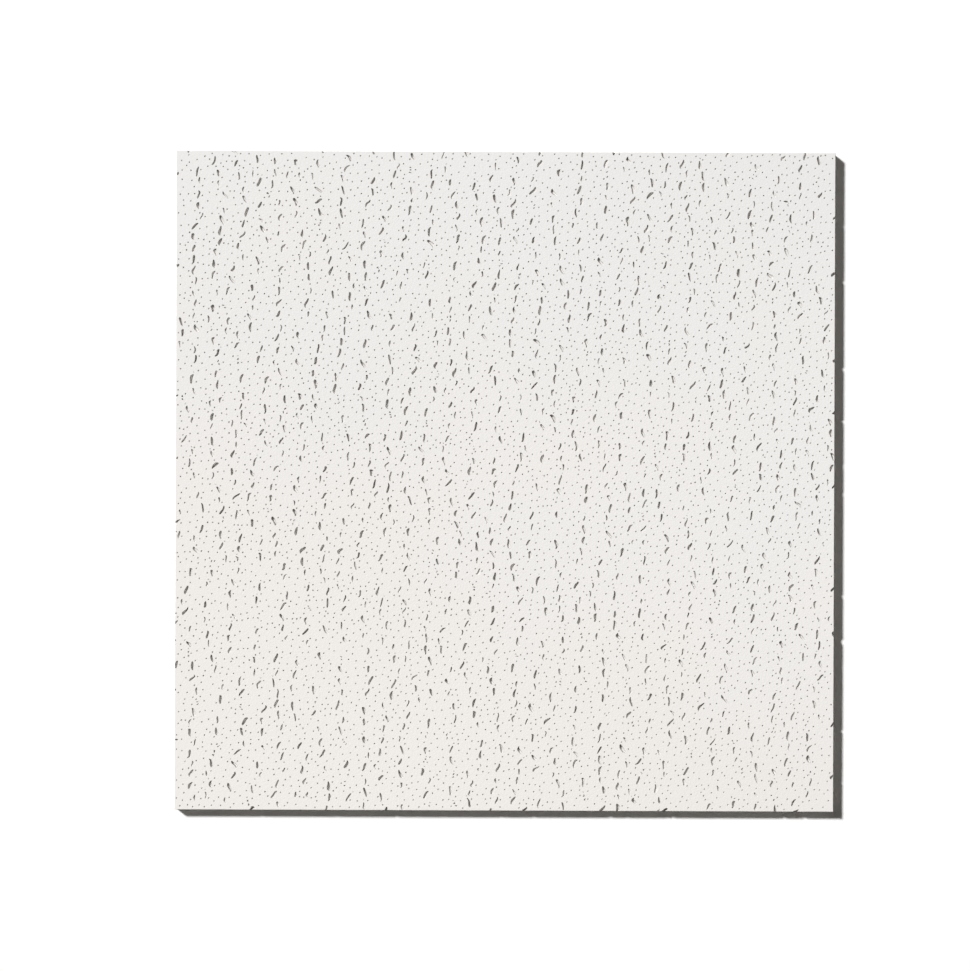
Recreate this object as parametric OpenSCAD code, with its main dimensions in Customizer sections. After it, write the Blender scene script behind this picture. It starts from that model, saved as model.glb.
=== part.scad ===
// Suspended ceiling tile: a square-edged mineral-fibre board with a fissured face.
// The plain back lies on z = 0 and the fissured face looks up. Millimetres.

/* [Board] */
// Width of the board, across the fissures
board_w = 595; // [290:5:1195]
// Length of the board, along the fissures
board_l = 595; // [290:5:1195]
// Thickness of the board
board_t = 15; // [12:0.5:25]

/* [Fissure shape] */
// Shortest fissure
fissure_min_l = 4.8; // [3:0.1:6]
// Longest fissure
fissure_max_l = 7.6; // [6.5:0.1:9]
// Narrowest mouth of a fissure
fissure_min_w = 1.5; // [0.8:0.1:1.8]
// Widest mouth of a fissure
fissure_max_w = 2.3; // [1.9:0.1:3]
// Depth at the middle of the shallowest fissure
fissure_min_d = 1.6; // [1:0.1:2.2]
// Depth at the middle of the deepest fissure
fissure_max_d = 3.4; // [2.4:0.1:6]
// Steepest fall of a fissure's keel from one end to the other, in degrees
keel_fall = 10; // [0:1:20]
// Lean that most fissures share, turned from the board's length
lean_mean = -4; // [-20:1:20]
// Largest lean of a fissure to either side of the shared one
lean_spread = 47; // [0:1:60]

/* [Fissure pattern] */
// Distance between two columns of fissures
column_pitch = 19.4; // [14:0.2:24]
// How far the columns lie to the side of the board's middle line, as a share of that distance
column_offset = 0.5; // [0:0.1:0.9]
// Shortest step between two fissures that follow each other closely in a column
close_step_min = 9.4; // [9:0.1:10]
// Longest step between two fissures that follow each other closely in a column
close_step_max = 11.2; // [10:0.1:13]
// Shortest open stretch between two fissures of a column
open_step_min = 16; // [13:0.5:20]
// Longest open stretch between two fissures of a column
open_step_max = 31; // [24:0.5:40]
// Share of the fissures that follow closely on the one before
close_share = 0.34; // [0:0.02:0.8]
// How far a column wanders to either side
wander = 8; // [0:0.5:10]
// Length of one wave of a wandering column
wander_l = 150; // [80:5:400]
// How far a fissure lies off its column's line, to either side
scatter = 2; // [0:0.1:3]
// Number that picks one pattern out of many
pattern_seed = 69; // [1:1:999]

/* [Hidden] */

// How far a cut reaches above the face at its middle, with room for the fall of its keel
overcut = 1 + tan(keel_fall) * fissure_max_l / 2;
// Share of the lean that a closely following fissure takes back
zigzag = 0.4;
// Share of the wander in the short wave, with the rest in the long one
short_wave = 0.6;
// Length of the long wave, for one length of the short wave
long_wave_l = 1.6;
// Degrees by which each column's waves are out of step with those of the column before
short_wave_lag = 37;
long_wave_lag = -59;
// Steps from one seed to the next, by column and by use, so that no two lists share a seed
column_key = 11;
use_key = 5077;
// Half of the width and of the length within which a fissure can still cut the board
reach_x = board_w / 2 + fissure_max_l / 2;
reach_y = board_l / 2 + fissure_max_l / 2;
last_column = ceil((reach_x + wander + scatter) / column_pitch);
steps_max = ceil(2 * reach_y / close_step_min) + 1;

// A list of numbers from 0 to 1 that belongs to one column and one use
function chances(column, use) =
    rands(0, 1, steps_max, pattern_seed + column * column_key + use * use_key);

// Part of the way from low to high
function between(low, high, share) = low + (high - low) * share;

// The line of a column wanders in two waves
function column_x(column, y) =
    (column + column_offset) * column_pitch
    + wander * short_wave * sin(360 * y / wander_l + short_wave_lag * column)
    + wander * (1 - short_wave) * sin(360 * y / (wander_l * long_wave_l) + long_wave_lag * column);

// Lean that a fissure has by itself, with the middle of the spread more common than its ends
function own_lean(first, second) = between(-lean_spread, lean_spread, (first + second) / 2);

// Distance from one fissure to the next in its column
function step_after(close, share) =
    close
        ? between(close_step_min, close_step_max, share)
        : between(open_step_min, open_step_max, share);

// One column as a list of [x, y, lean, length, width, depth, fall], from the near edge to the far one.
// A fissure that follows closely leans back against the one before it, as a torn line does.
function column_fissures(column) =
    let (
        picks = chances(column, 1),
        shares = chances(column, 2),
        firsts = chances(column, 3),
        seconds = chances(column, 4),
        offsets = chances(column, 5),
        lengths = chances(column, 6),
        widths = chances(column, 7),
        depths = chances(column, 8),
        falls = chances(column, 9),
        start = -reach_y + open_step_max * chances(column, 10)[0]
    )
    [for (
        i = 0, y = start, lean = own_lean(firsts[0], seconds[0]);
        y < reach_y;
        close = picks[i] < close_share,
            y = y + step_after(close, shares[i]),
            i = i + 1,
            lean = own_lean(firsts[i], seconds[i]) - (close ? zigzag * lean : 0)
    ) [
        column_x(column, y) + between(-scatter, scatter, offsets[i]),
        y,
        lean_mean + lean,
        between(fissure_min_l, fissure_max_l, lengths[i]),
        between(fissure_min_w, fissure_max_w, widths[i]),
        between(fissure_min_d, fissure_max_d, depths[i]),
        between(-keel_fall, keel_fall, falls[i])
    ]];

fissures = [
    for (column = [-last_column - 1 : last_column])
        for (place = column_fissures(column))
            if (abs(place.x) < reach_x) place
];

// A tear along Y with a V-shaped section, open at the top, deeper and wider at one end
module fissure(length, width, depth, fall) {
    mouth = width * (depth + overcut) / depth;
    rotate([90 + fall, 0, 0])
        linear_extrude(length, center = true)
            polygon([[-mouth / 2, overcut], [mouth / 2, overcut], [0, -depth]]);
}

module tile() {
    color("whitesmoke")
        difference() {
            translate([-board_w / 2, -board_l / 2, 0])
                cube([board_w, board_l, board_t]);
            for (place = fissures)
                translate([place.x, place.y, board_t])
                    rotate([0, 0, place[2]])
                        fissure(place[3], place[4], place[5], place[6]);
        }
}

tile();
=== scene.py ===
import math
import random

import bmesh
import bpy
from mathutils import Matrix, Vector, geometry, noise


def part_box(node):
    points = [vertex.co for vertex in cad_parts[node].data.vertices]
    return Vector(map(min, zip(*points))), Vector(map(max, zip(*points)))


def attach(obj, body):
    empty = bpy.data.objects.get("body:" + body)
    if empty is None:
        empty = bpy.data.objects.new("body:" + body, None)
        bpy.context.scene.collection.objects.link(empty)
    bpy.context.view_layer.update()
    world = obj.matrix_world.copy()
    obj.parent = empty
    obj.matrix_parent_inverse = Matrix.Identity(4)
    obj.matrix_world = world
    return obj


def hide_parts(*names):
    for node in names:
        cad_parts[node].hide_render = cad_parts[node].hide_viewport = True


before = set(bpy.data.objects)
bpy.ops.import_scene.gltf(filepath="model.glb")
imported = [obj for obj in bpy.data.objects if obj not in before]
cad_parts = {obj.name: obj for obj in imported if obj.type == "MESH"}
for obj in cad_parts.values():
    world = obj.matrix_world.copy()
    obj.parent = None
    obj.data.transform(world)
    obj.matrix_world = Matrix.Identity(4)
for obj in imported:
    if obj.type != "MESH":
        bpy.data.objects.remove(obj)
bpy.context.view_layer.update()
lowCorner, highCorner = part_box("tile")
faceZ = highCorner.z
thickness = highCorner.z - lowCorner.z
mm = 0.001
tiny = 0.001 * mm             # points nearer to each other than this are one
print("frame loaded, board of", [round(size / mm, 1) for size in highCorner - lowCorner], "mm")


# Shader maths: a socket that takes part in plain sums
class Wire:
    def __init__(self, tree, socket):
        self.tree, self.socket = tree, socket

    # Adds any node: its type, its settings, what goes into its sockets and which socket comes out
    def add(self, kind, settings=None, inputs=None, out=0):
        node = self.tree.nodes.new("ShaderNode" + kind)
        for name, value in (settings or {}).items():
            setattr(node, name, value)
        for key, value in (inputs or {}).items():
            if isinstance(value, Wire):
                self.tree.links.new(value.socket, node.inputs[key])
            else:
                node.inputs[key].default_value = value
        return Wire(self.tree, node.outputs[out])

    def sum(self, operation, first, second):
        return self.add("Math", {"operation": operation}, {0: first, 1: second})

    def __add__(self, other):
        return self.sum("ADD", self, other)

    def __radd__(self, other):
        return self.sum("ADD", other, self)

    def __sub__(self, other):
        return self.sum("SUBTRACT", self, other)

    def __rsub__(self, other):
        return self.sum("SUBTRACT", other, self)

    def __mul__(self, other):
        return self.sum("MULTIPLY", self, other)

    def __rmul__(self, other):
        return self.sum("MULTIPLY", other, self)

    def __truediv__(self, other):
        return self.sum("DIVIDE", self, other)

    def __rtruediv__(self, other):
        return self.sum("DIVIDE", other, self)

    # One of the three numbers of these coordinates
    def axis(self, number):
        return self.add("SeparateXYZ", None, {0: self}, out=number)

    # 0 below low, 1 above high, and a soft rise between them
    def rise(self, low, high):
        ends = {"Value": self, "From Min": low, "From Max": high}
        return self.add("MapRange", {"interpolation_type": "SMOOTHSTEP"}, ends)

    # From one colour to another, with this value as the share of the second
    def blend(self, first, second):
        return self.add("Mix", {"data_type": "RGBA"}, {0: self, 6: first, 7: second}, out=2)

    # Noise on these coordinates
    def noise(self, scale, detail=2.0, roughness=0.5, distortion=0.0):
        looks = {"Vector": self, "Scale": scale, "Detail": detail}
        looks.update({"Roughness": roughness, "Distortion": distortion})
        return self.add("TexNoise", None, looks)

    # The same coordinates, drawn out or pressed together along each axis
    def stretched(self, factors):
        return self.add("VectorMath", {"operation": "MULTIPLY"}, {0: self, 1: factors})


mattSpecular = 0.25


# A new material with its main shader and its coordinates
def newMaterial(name):
    material = bpy.data.materials.new(name)
    material.use_nodes = True
    tree = material.node_tree
    shader = tree.nodes["Principled BSDF"]
    shader.inputs["Specular IOR Level"].default_value = mattSpecular
    place = Wire(tree, tree.nodes.new("ShaderNodeTexCoord").outputs["Object"])
    return material, shader, place


# Links colour, roughness and relief to a main shader
def dress(shader, colour, roughness, relief, depth):
    tree = colour.tree
    bump = relief.add("Bump", None, {"Height": relief, "Distance": depth})
    tree.links.new(colour.socket, shader.inputs["Base Color"])
    tree.links.new(roughness.socket, shader.inputs["Roughness"])
    tree.links.new(bump.socket, shader.inputs["Normal"])


paint = {
    "warm": (0.863, 0.834, 0.801, 1),   # towards the near edge
    "cool": (0.839, 0.828, 0.817, 1),   # towards the far edge
    # the grey that both the painted shade in the corners and the stipple's dots blend towards
    "shadeAndStippleGrey": (0.700, 0.690, 0.680, 1),
    "change": (0.12, 0.5),    # from warm to cool, across the board and along it
    "changeReach": 0.65,
    "cloudScale": 6,          # clouds to the metre
    "cloudiness": 1.2,
    # painted shade: the paint darkens towards the two right-hand corners, starting this far
    # across the board
    "cornerShadeFrom": -0.1,       # where the dull corner starts, across the board
    "cornerPaintedShade": 0.16,
    "stippleScale": 620,
    "stippleDull": 0.16,
    "stippleDepth": 0.26 * mm,
    "grainScale": 1900,
    "roughness": (0.78, 0.16),  # the least, and what the grain adds
}


# Matt white paint with the stipple of its roller, a little yellowed along one side, with painted
# shade darkening it towards the right-hand corners
def makePaint():
    material, shader, place = newMaterial("mattWhitePaint")
    x, y = place.axis(0), place.axis(1)
    cloud = place.noise(paint["cloudScale"], 3)
    stipple = place.noise(paint["stippleScale"], 2, 0.55)
    grain = place.noise(paint["grainScale"], 2)
    cross, length = paint["change"]
    clouds = cloud * paint["cloudiness"] - paint["cloudiness"] / 2
    far = y / highCorner.y * length + x / highCorner.x * cross + clouds
    whiteness = far.rise(-paint["changeReach"], paint["changeReach"])
    colour = whiteness.blend(paint["warm"], paint["cool"])
    # painted shade, darker towards the right-hand corners
    corners = x.rise(paint["cornerShadeFrom"], highCorner.x) * y * y / highCorner.y ** 2
    dots = (stipple * 0.6 + grain * 0.4).rise(0.2, 0.8)
    # painted shade in the corners, plus the stipple's darker dots
    paintedShadeAndStipple = corners * paint["cornerPaintedShade"] + dots * paint["stippleDull"]
    colour = paintedShadeAndStipple.blend(colour, paint["shadeAndStippleGrey"])
    least, more = paint["roughness"]
    relief = stipple * 0.7 + grain * 0.3
    dress(shader, colour, least + grain * more, relief, paint["stippleDepth"])
    return material


core = {
    "torn": (0.62, 0.606, 0.586, 1),
    "fibre": (0.72, 0.704, 0.683, 1),
    "paintDepth": 0.4 * mm,   # how far down a pit the paint reaches
    "fibreScale": 1100,
    "fibreBlend": (0.35, 0.65),
    "relief": 0.2 * mm,
    "roughness": (0.86, 0.1),
}


# The board's own grey-beige stuff inside the pits, with some paint on their lips
def makeCore():
    material, shader, place = newMaterial("tornCore")
    height = place.axis(2)
    fibre = place.noise(core["fibreScale"], 4, 0.6, 0.6)
    below = faceZ - height
    bare = (below + (fibre - 0.5) * core["paintDepth"]).rise(0, core["paintDepth"])
    stuff = fibre.rise(*core["fibreBlend"]).blend(core["torn"], core["fibre"])
    colour = bare.blend(paint["warm"], stuff)
    least, more = core["roughness"]
    dress(shader, colour, least + fibre * more, fibre, core["relief"])
    return material


edge = {
    "pale": (0.74, 0.715, 0.665, 1),
    "dark": (0.56, 0.53, 0.475, 1),
    "grain": (0.82, 0.80, 0.76, 1),
    # painted shade: the colour put into the felt's small voids
    "voidShade": (0.30, 0.28, 0.25, 1),
    "fibreScale": 160,
    "fineScale": 800,
    "fibreBlend": (0.3, 0.7),
    "flatten": (1, 1, 4.5),   # the felt lies in layers, so its fibres run along the edge
    "grainScale": 330,
    "grainSize": (0.16, 0.3),
    "grainShare": 0.55,
    "voidScale": 520,
    "voidSize": (0.66, 0.74),
    "voidShadeShare": 0.7,
    "paintFrom": 0.4 * mm,
    "paintReach": 1.3 * mm,   # overspray below the face
    "relief": 0.35 * mm,
    "roughness": (0.88, 0.08),
}


# The sawn edge: layered felt with pale grains, small voids with painted shade in them, and
# overspray along the face
def makeEdge():
    material, shader, place = newMaterial("sawnEdge")
    height = place.axis(2)
    layers = place.stretched(edge["flatten"])
    felt = layers.noise(edge["fibreScale"], 5, 0.62, 0.4)
    fine = layers.noise(edge["fineScale"], 3, 0.6)
    spots = place.add("TexVoronoi", None, {"Vector": place, "Scale": edge["grainScale"]})
    grains = 1 - spots.rise(*edge["grainSize"])
    voidsShadedAndSunk = place.noise(edge["voidScale"], 2).rise(*edge["voidSize"])
    fibres = (felt * 0.65 + fine * 0.35).rise(*edge["fibreBlend"])
    colour = fibres.blend(edge["dark"], edge["pale"])
    colour = (grains * edge["grainShare"]).blend(colour, edge["grain"])
    # painted shade in the voids, which also sink in the relief below
    colour = (voidsShadedAndSunk * edge["voidShadeShare"]).blend(colour, edge["voidShade"])
    below = faceZ - height + (felt - 0.5) * edge["paintReach"] * 2
    bare = below.rise(edge["paintFrom"], edge["paintReach"])
    colour = bare.blend(paint["warm"], colour)
    relief = felt * 0.6 + fine * 0.3 + grains * 0.2 - voidsShadedAndSunk * 0.7
    least, more = edge["roughness"]
    dress(shader, colour, least + fine * more, relief, edge["relief"])
    return material


back = {
    "pale": (0.70, 0.67, 0.61, 1),
    "dark": (0.58, 0.55, 0.49, 1),
    "fleck": (0.42, 0.39, 0.35, 1),
    "feltScale": 240,
    "feltBlend": (0.32, 0.68),
    "markScale": 420,
    "brushed": (1, 0.16, 1),  # sanding marks run along the board's length
    "fleckScale": 310,
    "fleckSize": (0.68, 0.76),
    "fleckShare": 0.5,
    "relief": 0.25 * mm,
    "roughness": (0.88, 0.08),
}


# The plain back: sanded felt with a few darker flecks
def makeBack():
    material, shader, place = newMaterial("sandedBack")
    felt = place.noise(back["feltScale"], 5, 0.62, 0.8)
    marks = place.stretched(back["brushed"]).noise(back["markScale"], 3, 0.6)
    flecks = place.noise(back["fleckScale"], 1).rise(*back["fleckSize"])
    relief = felt * 0.6 + marks * 0.4
    colour = relief.rise(*back["feltBlend"]).blend(back["dark"], back["pale"])
    colour = (flecks * back["fleckShare"]).blend(colour, back["fleck"])
    least, more = back["roughness"]
    dress(shader, colour, least + felt * more, relief, back["relief"])
    return material


board = {
    "rimStep": 5 * mm,        # between two points along the edge
    "rows": (0.22, 0.5, 0.78),  # rows of points up the edge, as shares of the thickness
    "arris": 0.35 * mm,
    "uneven": 0.2 * mm,       # how far the saw cut wanders into the board
    "unevenSize": 14 * mm,
    "smoothBelow": 35,        # degrees between two faces
}
finish = {"face": 0, "edge": 1, "back": 2, "pits": 3}  # the board's materials by number


# A board with small arrises and a slightly uneven sawn edge
def makeBoard():
    bm = bmesh.new()
    arris = board["arris"]
    full = (highCorner.x / (highCorner.x - arris), highCorner.y / (highCorner.y - arris), 1)
    bmesh.ops.create_grid(bm, x_segments=1, y_segments=1, size=1)
    bmesh.ops.scale(bm, vec=(highCorner.x - arris, highCorner.y - arris, 1), verts=bm.verts)
    bmesh.ops.translate(bm, vec=(0, 0, lowCorner.z), verts=bm.verts)
    cuts = round(2 * highCorner.x / board["rimStep"]) - 1
    bmesh.ops.bisect_edges(bm, edges=bm.edges, cuts=cuts)
    rows = [lowCorner.z + thickness * share for share in board["rows"]]
    layer = bm.faces[:]
    for height in [lowCorner.z + arris, *rows, faceZ - arris, faceZ]:
        below = layer
        grown = bmesh.ops.extrude_face_region(bm, geom=below)["geom"]
        layer = [item for item in grown if isinstance(item, bmesh.types.BMFace)]
        points = layer[0].verts[:]
        bmesh.ops.translate(bm, vec=(0, 0, height - points[0].co.z), verts=points)
        if height == lowCorner.z + arris:
            bmesh.ops.scale(bm, vec=full, verts=points)
        else:
            bmesh.ops.delete(bm, geom=below, context="FACES")
        if height == faceZ:
            bmesh.ops.scale(bm, vec=[1 / factor for factor in full], verts=points)
    for vert in bm.verts:
        wander = 0.5 + 0.5 * noise.noise(vert.co / board["unevenSize"])
        for axis in (0, 1):
            if abs(vert.co[axis]) > highCorner[axis] - 2 * arris:
                vert.co[axis] -= math.copysign(wander * board["uneven"], vert.co[axis])
    bmesh.ops.recalc_face_normals(bm, faces=bm.faces)
    for face in bm.faces:
        side = "face" if face.normal.z > 0.5 else "back" if face.normal.z < -0.5 else "edge"
        face.material_index = finish[side]
    return bm


# The keel of each fissure in the solid: its ends, the mouth's width and which ends are at the rim
def readFissures():
    solid = bmesh.new()
    solid.from_mesh(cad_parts["tile"].data)
    bmesh.ops.remove_doubles(solid, verts=solid.verts, dist=tiny)
    near = 0.01 * mm
    found, used = [], set()
    for line in sorted(solid.edges, key=lambda line: -line.calc_length()):
        ends = sorted((vert.co.copy() for vert in line.verts), key=lambda end: end.y)
        inside = all(lowCorner.z + near < end.z < faceZ - near for end in ends)
        onRim = [[abs(end[axis]) > highCorner[axis] - near for axis in (0, 1)] for end in ends]
        alongRim = any(first and second for first, second in zip(*onRim))
        if not inside or alongRim or used.intersection(line.verts):
            continue
        used.update(line.verts)
        along = (ends[1] - ends[0]).to_2d().normalized()
        width = 0
        for face in line.link_faces:
            lip = next(vert for vert in face.verts if vert not in line.verts)
            width += abs(along.cross((lip.co - ends[0]).to_2d()))
        found.append({"ends": ends, "width": width, "atRim": [any(flags) for flags in onRim]})
    solid.free()
    starts = [item["ends"][0] for item in found]
    order = sorted(range(len(found)), key=lambda at: (round(starts[at].y / near), starts[at].x))
    return [found[at] for at in order]


# Remembers points on the face, so that new ones can keep clear of them
class Ground:
    def __init__(self, cell):
        self.cell, self.taken = cell, {}

    def square(self, spot):
        return int(spot.x // self.cell), int(spot.y // self.cell)

    # Others keep this far away, or as far as they ask for
    def book(self, spot, clear=0):
        self.taken.setdefault(self.square(spot), []).append((spot, clear))

    def isFree(self, spot, gap):
        column, row = self.square(spot)
        near = [item for x in (-1, 0, 1) for y in (-1, 0, 1)
                for item in self.taken.get((column + x, row + y), ())]
        return all((spot - other).length > (clear or gap) for other, clear in near)


tear = {
    "sides": 12,
    "widen": 1.5,             # the mouth, for a width of 1 in the solid
    "lengthen": 1.25,
    "footWidth": (0.25, 0.55),  # width at the bottom, for a mouth of 1
    "footLength": (0.78, 0.94),
    "footAside": 0.25 * mm,   # how far the bottom lies off the middle
    "squareness": 0.75,       # below 1 the mouth has blunter ends and straighter sides
    "ragged": 0.18,
    "bend": 0.65 * mm,
    "sway": 0.6 * mm,
    "kink": 1.2 * mm,
    "kinkAt": 0.4,            # farthest from the middle, for half a length of 1
    "taper": 0.45,
    "over": 0.5 * mm,         # how far a cut through the rim starts above the face
    "pastRim": 2 * mm,        # how far it runs out past the rim
    "rimGap": 1.5 * mm,       # a mouth nearer to the rim than this cuts through it
    "bite": 0.8 * mm,
    "clear": 0.9 * mm,        # a small tear with its lips nearer to others than this is left out
    "seed": 4,
}


# A ragged tear in its own small mesh: an open cup, or a closed solid that cuts through the rim
def makeTear(start, end, width, depths, chance, mesh, closed):
    bm = bmesh.new()
    bmesh.ops.create_cone(
        bm, cap_ends=True, segments=tear["sides"], radius1=1, radius2=1, depth=1)
    middle, run = (start + end) / 2, (end - start) / 2
    along, across = run.normalized(), Vector((run.y, -run.x)).normalized()
    bend = chance.uniform(-1, 1) * tear["bend"]
    sway = chance.uniform(-1, 1) * tear["sway"]
    kink = chance.choice((0, 0, chance.uniform(-1, 1))) * tear["kink"]
    kinkAt = chance.uniform(-tear["kinkAt"], tear["kinkAt"])
    taper = chance.uniform(-1, 1) * tear["taper"]
    footWidth = chance.uniform(*tear["footWidth"])
    footLength = chance.uniform(*tear["footLength"])
    footAside = chance.uniform(-1, 1) * tear["footAside"]
    ragged = [[chance.uniform(-1, 1) * tear["ragged"] for _ in "xy"]
              for _ in range(tear["sides"])]
    for vert in bm.verts:
        rough = ragged[round(math.atan2(vert.co.y, vert.co.x) / math.tau * tear["sides"])]
        side = math.copysign(abs(vert.co.x) ** tear["squareness"], vert.co.x) * (1 + rough[0])
        reach = vert.co.y * (1 + rough[1] / 3)  # the ends are less ragged than the sides
        side *= width / 2 * (1 + taper * reach)
        side += bend * (1 - 2 * reach * reach) + kink * max(0, reach - kinkAt)
        side += sway * math.sin(math.pi * reach)
        height = faceZ + (tear["over"] if closed else 0)
        if vert.co.z < 0:
            side = side * footWidth + footAside
            reach *= footLength
            height = faceZ - depths[0] - (depths[1] - depths[0]) * (reach + 1) / 2
        spot = middle + along * (reach * run.length) + across * side
        vert.co = (spot.x, spot.y, height)
    if not closed:
        mouth = max(bm.faces, key=lambda face: face.calc_center_median().z)
        bmesh.ops.delete(bm, geom=[mouth], context="FACES_ONLY")
    bm.normal_update()
    bmesh.ops.recalc_face_normals(bm, faces=bm.faces)
    bm.to_mesh(mesh)
    bm.free()


faint = {
    "rounds": 2,              # how often a place is tried beyond each deep tear
    "share": 0.95,            # of the places with room that get a faint tear
    "step": (8.2 * mm, 14.4 * mm),
    "ways": (-1, -1, 1),      # more of them below a deep tear than above it
    "room": (9 * mm, 7.2 * mm),  # clear ground that one needs, to its sides and along it
    "aside": 4.6 * mm,
    "length": (4.6 * mm, 7.2 * mm),
    "width": (1.4 * mm, 2.1 * mm),
    "depth": (1.2 * mm, 2.4 * mm),
    "falls": (0.6, 1.4),      # depth at the tail and at the head, for a depth of 1 in the middle
    "lean": 34,
    "broken": 0.24,           # share that is broken into specks
    "specks": (2, 3),
    "speckLength": (0.55, 0.75),
    "speckWidth": (0.6, 0.9),
    "speckAside": 0.8 * mm,
    "fromRim": 3 * mm,
}


# A faint tear in one piece, or as two or three specks in a row
def faintTear(spot, chance):
    lean = math.radians(chance.triangular(-faint["lean"], faint["lean"]))
    length, width, depth = [chance.uniform(*faint[name]) for name in ("length", "width", "depth")]
    run = Vector((-math.sin(lean), math.cos(lean))) * length / 2
    if chance.random() > faint["broken"]:
        return [(spot - run, spot + run, width, [depth * fall for fall in faint["falls"]])]
    specks = []
    count = chance.choice(faint["specks"])
    for number in range(count):
        middle = spot + run * (2 * (number + 0.5) / count - 1)
        middle.x += chance.uniform(-1, 1) * faint["speckAside"]
        half = run / count * chance.uniform(*faint["speckLength"])
        speckWidth = width * chance.uniform(*faint["speckWidth"])
        specks.append((middle - half, middle + half, speckWidth, (depth, depth)))
    return specks


# Faint tears beyond the ends of the deep ones, where nothing else is near
def followTears(fissures, chance):
    spots = [(item["ends"][0] + item["ends"][1]).to_2d() / 2 for item in fissures]
    made = []
    for middle in spots * faint["rounds"]:
        way = chance.choice(faint["ways"])
        aside = chance.uniform(-1, 1) * faint["aside"]
        step = chance.uniform(*faint["step"])
        spot = middle + Vector((aside, way * step))
        wanted = chance.random() < faint["share"]
        inside = all(abs(spot[axis]) < highCorner[axis] - faint["fromRim"] for axis in (0, 1))
        crowded = any(
            all(abs(other[axis] - spot[axis]) < faint["room"][axis] for axis in (0, 1))
            for other in spots
        )
        if wanted and inside and not crowded:
            made += faintTear(spot, chance)
            spots.append(spot)
    return made


nick = {
    "counts": (9, 5),         # on each edge along the tears, and on each across them
    "out": (-1.2 * mm, 0.3 * mm),  # where the middle lies, from the rim
    "length": (5 * mm, 7.4 * mm),
    "width": (2 * mm, 3.4 * mm),
    "depth": (3.2 * mm, 6 * mm),
    "lean": (24, 60),
    "fromCorner": 8 * mm,
}


# A few more tears that nick the rim
def nickTears(chance):
    made = []
    for axis in (0, 1):
        for number in range(2 * nick["counts"][axis]):
            spot = Vector((0, 0))
            spot[axis] = (highCorner[axis] + chance.uniform(*nick["out"])) * (-1) ** number
            share = (number + chance.random()) / nick["counts"][axis] - 1
            spot[1 - axis] = share * (highCorner[1 - axis] - nick["fromCorner"])
            lean = math.radians(chance.uniform(*nick["lean"]))
            length, width, depth = [
                chance.uniform(*nick[name]) for name in ("length", "width", "depth")]
            run = Vector((math.sin(lean), math.cos(lean))) * length / 2
            made.append((spot - run, spot + run, width, (depth, depth)))
    return made


fleck = {
    "share": 0.22,            # of the tears that have one
    "gap": (1.2 * mm, 1.7 * mm),
    "aside": 0.9 * mm,
    "length": (0.7 * mm, 1.3 * mm),
    "width": (0.7 * mm, 1.1 * mm),
    "depth": (0.8 * mm, 1.6 * mm),
    "fromRim": 5 * mm,
}


# Small flecks torn out just past the heads of some tears
def fleckTears(tears, chance):
    made = []
    for start, end, *_ in tears:
        head, tail = (start, end) if start.y > end.y else (end, start)
        along = (head - tail).normalized()
        across = Vector((along.y, -along.x)) * chance.uniform(-1, 1)
        gap, length, width, depth = [
            chance.uniform(*fleck[name]) for name in ("gap", "length", "width", "depth")]
        spot = head + along * (gap + length / 2) + across * fleck["aside"]
        half = (along + across / 2) * length / 2
        wanted = chance.random() < fleck["share"]
        inside = all(abs(spot[axis]) < highCorner[axis] - fleck["fromRim"] for axis in (0, 1))
        if wanted and inside:
            made.append((spot - half, spot + half, width, (depth, depth)))
    return made


pin = {
    "sides": 6,
    "radius": (0.74 * mm, 0.90 * mm),
    "depth": (1.8 * mm, 2.5 * mm),
    "ragged": 0.14,
    "kinds": 24,
    # Least gap between two pinholes and how often a place is tried with it
    "gaps": ((6.6 * mm, 30000), (5.6 * mm, 20000), (4.6 * mm, 12000), (3.6 * mm, 3000)),
    "fromTear": 2.5 * mm,
    "fromLip": 1.9 * mm,
    "fromRim": 2.1 * mm,
    "seed": 9,
}


# Places of the pinholes: evenly scattered, clear of the tears and of each other
def scatterPins(tears, lips, chance):
    ground = Ground(pin["gaps"][0][0])
    for start, end, *_ in tears:
        for share in (0, 0.25, 0.5, 0.75, 1):
            ground.book(start.lerp(end, share), pin["fromTear"])
    for spot in lips:
        ground.book(spot, pin["fromLip"])
    found = []
    for gap, tries in pin["gaps"]:
        for _ in range(tries):
            spot = Vector([chance.uniform(-1, 1) * (half - pin["fromRim"])
                           for half in highCorner.xy])
            if ground.isFree(spot, gap):
                ground.book(spot)
                found.append(spot)
    return found


# A few slightly different pinholes to use again and again, as open cups
def makePinKinds(chance):
    kinds = []
    for number in range(pin["kinds"]):
        bm = bmesh.new()
        radius, depth = chance.uniform(*pin["radius"]), chance.uniform(*pin["depth"])
        sink = Matrix.Translation((0, 0, faceZ - depth / 2))
        turn = Matrix.Rotation(chance.uniform(0, math.pi), 4, "Z")
        bmesh.ops.create_cone(
            bm, segments=pin["sides"], radius1=0, radius2=radius, depth=depth, matrix=sink @ turn)
        for vert in bm.verts:
            push = Vector((chance.uniform(-1, 1), chance.uniform(-1, 1)))
            vert.co.xy += push * radius * pin["ragged"]
        kinds.append(bpy.data.meshes.new(f"pinKind{number}"))
        bm.to_mesh(kinds[-1])
        bm.free()
    return kinds


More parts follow.
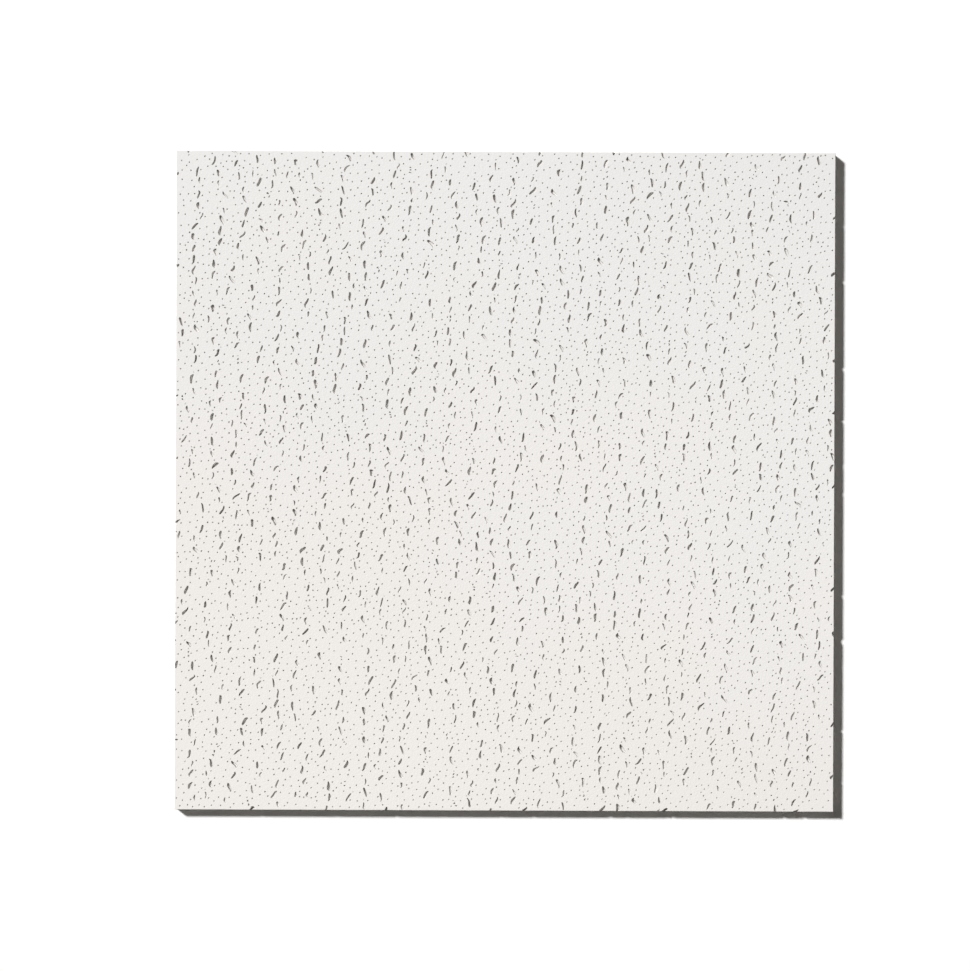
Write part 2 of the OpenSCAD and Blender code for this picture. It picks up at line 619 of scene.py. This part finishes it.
# Every tear as its two ends, its mouth's width, and its depth at each end
def planTears():
    chance = random.Random(tear["seed"])
    fissures = readFissures()
    tears = []
    for item in fissures:
        start, end = [spot.to_2d() for spot in item["ends"]]
        middle, run = (start + end) / 2, (end - start) / 2 * tear["lengthen"]
        start, end = middle - run, middle + run
        depths = [faceZ - spot.z for spot in item["ends"]]
        out = (end - start).normalized() * tear["pastRim"]
        start = start - out if item["atRim"][0] else start
        end = end + out if item["atRim"][1] else end
        width = item["width"] * tear["widen"]
        # A tear that runs along the rim bites into it, and leaves no thin wall outside
        for axis in (0, 1):
            gaps = sorted(highCorner[axis] - abs(spot[axis]) for spot in (start, end))
            bite = gaps[1] - width / 2 + tear["bite"]
            if 0 < bite < tear["bite"] + tear["rimGap"] and gaps[1] - gaps[0] < tear["rimGap"]:
                for spot in (start, end):
                    spot[axis] += math.copysign(bite, spot[axis])
        tears.append((start, end, width, depths))
    faintTears = followTears(fissures, chance)
    flecks = fleckTears(tears + faintTears, chance)
    return tears, nickTears(chance) + faintTears + flecks


# Makes a tear as a cup, or as a solid if its lips come near the rim, and gives its lips
def shapeTear(item, chance, mesh):
    state = chance.getstate()
    for closed in (False, True):
        chance.setstate(state)
        makeTear(*item, chance, mesh, closed)
        lips = [vert.co.to_2d() for vert in mesh.vertices if vert.co.z > faceZ - tiny]
        rooms = [highCorner[axis] - abs(spot[axis]) for spot in lips for axis in (0, 1)]
        if min(rooms) > tear["rimGap"]:
            break
    return lips, closed


# Makes the tears: open cups inside the face, and one mesh of solids that cut through the rim
def makeTears(deep, small):
    chance = random.Random(tear["seed"])
    cups, cutters = bmesh.new(), bmesh.new()
    shape = bpy.data.meshes.new("tearShape")
    ground = Ground(tear["clear"])
    made, allLips = [], []
    for item in deep + small:
        lips, throughRim = shapeTear(item, chance, shape)
        if len(made) < len(deep) or all(ground.isFree(spot, tear["clear"]) for spot in lips):
            made.append(item)
            (cutters if throughRim else cups).from_mesh(shape)
            allLips += lips
            for spot in lips:
                ground.book(spot)
    bpy.data.meshes.remove(shape)
    print(len(deep), "deep tears and", len(made) - len(deep), "small ones")
    return cups, cutters, made, allLips


# Adds the pinholes to the other cups
def addPins(cups, tears, lips):
    chance = random.Random(pin["seed"])
    kinds = makePinKinds(chance)
    spots = scatterPins(tears, lips, chance)
    for spot in spots:
        kind = chance.choice(kinds)
        move = Matrix.Translation((spot.x, spot.y, 0))
        kind.transform(move)
        cups.from_mesh(kind)
        kind.transform(move.inverted())
    for kind in kinds:
        bpy.data.meshes.remove(kind)
    print(len(spots), "pinholes")


def toObject(name, bm, materials):
    mesh = bpy.data.meshes.new(name)
    bm.to_mesh(mesh)
    bm.free()
    for material in materials:
        mesh.materials.append(material)
    piece = bpy.data.objects.new(name, mesh)
    bpy.context.scene.collection.objects.link(piece)
    return piece


# Cuts the tears at the rim through the board
def cutRim(tile, cutters, stuff):
    punch = toObject("punch", cutters, [stuff])
    cut = tile.modifiers.new("cutRim", "BOOLEAN")
    cut.operation, cut.solver, cut.material_mode = "DIFFERENCE", "MANIFOLD", "TRANSFER"
    cut.object = punch
    ready = tile.evaluated_get(bpy.context.evaluated_depsgraph_get())
    plain = tile.data
    tile.data = bpy.data.meshes.new_from_object(ready)
    tile.modifiers.clear()
    bpy.data.objects.remove(punch)
    bpy.data.meshes.remove(plain)
    tile.data.name = tile.name


# Sets the cups into the board and lays the flat face round their mouths, in even triangles
def setCups(mesh, cups):
    for face in cups.faces:
        face.material_index = finish["pits"]
    shape = bpy.data.meshes.new("cups")
    cups.to_mesh(shape)
    cups.free()
    bm = bmesh.new()
    bm.from_mesh(mesh)
    flat = [face for face in bm.faces if all(vert.co.z > faceZ - tiny for vert in face.verts)]
    bmesh.ops.delete(bm, geom=flat, context="FACES")
    bm.from_mesh(shape)
    bpy.data.meshes.remove(shape)
    mouths = [line for line in bm.edges if line.is_boundary]
    points = list(dict.fromkeys(vert for line in mouths for vert in line.verts))
    number = {vert: index for index, vert in enumerate(points)}
    lines = [[number[vert] for vert in line.verts] for line in mouths]
    laid = geometry.delaunay_2d_cdt(
        [vert.co.to_2d() for vert in points], lines, [], 1, tiny / 10)
    spots, sides, corners, origins, onLips = laid[:5]
    # Where two mouths cross, the face gets a new point
    meets = [points[origin[0]] if origin else bm.verts.new((*spot, faceZ))
             for spot, origin in zip(spots, origins)]
    fresh = [bm.faces.new([meets[corner] for corner in triangle]) for triangle in corners]
    lips = {frozenset(meets[end] for end in side)
            for side, origin in zip(sides, onLips) if origin}
    # What can't be reached from the rim without crossing a lip lies over a pit, and goes
    todo = [max(fresh, key=lambda face: face.calc_center_median().x)]
    isFresh, kept = set(fresh), set()
    while todo:
        face = todo.pop()
        if face in isFresh and face not in kept:
            kept.add(face)
            for line in face.edges:
                if frozenset(line.verts) not in lips:
                    todo += line.link_faces
    bmesh.ops.delete(bm, geom=[face for face in fresh if face not in kept], context="FACES")
    bmesh.ops.recalc_face_normals(bm, faces=bm.faces)
    print("open edges", sum(not line.is_manifold for line in bm.edges))
    bm.to_mesh(mesh)
    bm.free()


bakeMap = {
    "name": "OFBake",
    "face": (0.004, 0.004, 0.70, 0.70),    # left, bottom, width and height in the map
    "back": (0.712, 0.004, 0.284, 0.70),
    "edges": (0.004, 0.712, 0.992, 0.05),  # the first of four strips
    "edgeStep": 0.056,
    "pits": (0.004, 0.940, 0.992, 0.056),
    "pitRun": 40 * mm,                     # after this run the pits start again in their strip
    "pitDepth": 5 * mm,
}


# Lays the face, the back, the four edges and the walls of the pits out flat
def mapTile(mesh):
    layer = mesh.uv_layers.new(name=bakeMap["name"])
    size = highCorner - lowCorner
    parts = [bakeMap[name] for name in ("face", "edges", "back", "pits")]
    for face in mesh.polygons:
        left, bottom, wide, high = parts[face.material_index]
        across = abs(face.normal.x) > abs(face.normal.y)
        if face.material_index == finish["edge"]:
            bottom += bakeMap["edgeStep"] * (across + 2 * (face.normal[1 - across] > 0))
        start = (face.center.x + face.center.y) // bakeMap["pitRun"] * bakeMap["pitRun"]
        for corner in face.loop_indices:
            spot = mesh.vertices[mesh.loops[corner].vertex_index].co
            shares = (spot.x - lowCorner.x) / size.x, (spot.y - lowCorner.y) / size.y
            if face.material_index == finish["edge"]:
                shares = shares[across], (spot.z - lowCorner.z) / size.z
            if face.material_index == finish["pits"]:
                run = min(max((spot.x + spot.y - start) / bakeMap["pitRun"], 0), 1)
                shares = run, min((faceZ - spot.z) / bakeMap["pitDepth"], 1)
            layer.data[corner].uv = left + wide * shares[0], bottom + high * shares[1]


def makeTile():
    stuff = makeCore()
    tile = toObject("fissured_board", makeBoard(), [makePaint(), makeEdge(), makeBack()])
    cups, cutters, tears, lips = makeTears(*planTears())
    addPins(cups, tears, lips)
    cutRim(tile, cutters, stuff)
    setCups(tile.data, cups)
    mapTile(tile.data)
    tile.data.shade_smooth()
    tile.data.set_sharp_from_angle(angle=math.radians(board["smoothBelow"]))
    return tile


tile = makeTile()
print("board punched,", sum(len(face.vertices) - 2 for face in tile.data.polygons), "triangles")
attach(tile, "root")
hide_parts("tile")


studio = {
    "sunWay": (0.689, -0.539, -1),    # the way the light goes
    "sunPower": 4.02,
    "sunSoft": 8,                     # degrees
    "fill": (0.0612, 0.0581, 0.0540, 1),
    "floorSize": 60,
}


# White all round for the eye, and a low fill light for the board
def makeWorld():
    world = bpy.data.worlds.new("paleStudio")
    world.use_nodes = True
    tree = world.node_tree
    tree.nodes.clear()
    ray = tree.nodes.new("ShaderNodeLightPath")
    camera, glossy, through = [
        Wire(tree, ray.outputs[name])
        for name in ("Is Camera Ray", "Is Glossy Ray", "Is Transmission Ray")
    ]
    seen = (camera + glossy + through).rise(0, 1)
    colour = seen.blend(studio["fill"], (1, 1, 1, 1))
    light = colour.add("Background", None, {"Color": colour})
    tree.links.new(light.socket, tree.nodes.new("ShaderNodeOutputWorld").inputs["Surface"])
    bpy.context.scene.world = world


def makeSun():
    lamp = bpy.data.lights.new("sun", "SUN")
    lamp.energy = studio["sunPower"]
    lamp.angle = math.radians(studio["sunSoft"])
    sun = bpy.data.objects.new("sun", lamp)
    sun.rotation_euler = Vector(studio["sunWay"]).to_track_quat("-Z", "Y").to_euler()
    bpy.context.scene.collection.objects.link(sun)


def makeFloor():
    bm = bmesh.new()
    bmesh.ops.create_grid(bm, x_segments=1, y_segments=1, size=studio["floorSize"] / 2)
    material, shader, _ = newMaterial("whiteFloor")
    shader.inputs["Base Color"].default_value = (1, 1, 1, 1)
    shader.inputs["Roughness"].default_value = 1
    shader.inputs["Specular IOR Level"].default_value = 0
    floor = toObject("floor", bm, [material])


view = {
    "height": 3.3,                    # above the face
    "aside": (-0.0179, -0.0040),      # from the middle of the board
    "turn": 0.21,                     # degrees
    "pixelsPerMetre": 1108,           # at the face
    "pixelsHigh": 971,
    "sensor": 36,
}


def makeCamera():
    camera = bpy.data.objects.new("camera", bpy.data.cameras.new("camera"))
    camera.data.sensor_width = view["sensor"]
    seenHigh = view["pixelsHigh"] / view["pixelsPerMetre"]
    camera.data.lens = view["sensor"] * view["height"] / seenHigh
    camera.location = (*view["aside"], faceZ + view["height"])
    camera.rotation_euler = (0, 0, math.radians(view["turn"]))
    bpy.context.scene.collection.objects.link(camera)
    bpy.context.scene.camera = camera


makeWorld()
makeSun()
makeFloor()
makeCamera()
bpy.context.scene.view_settings.view_transform = "Standard"
print("studio ready")
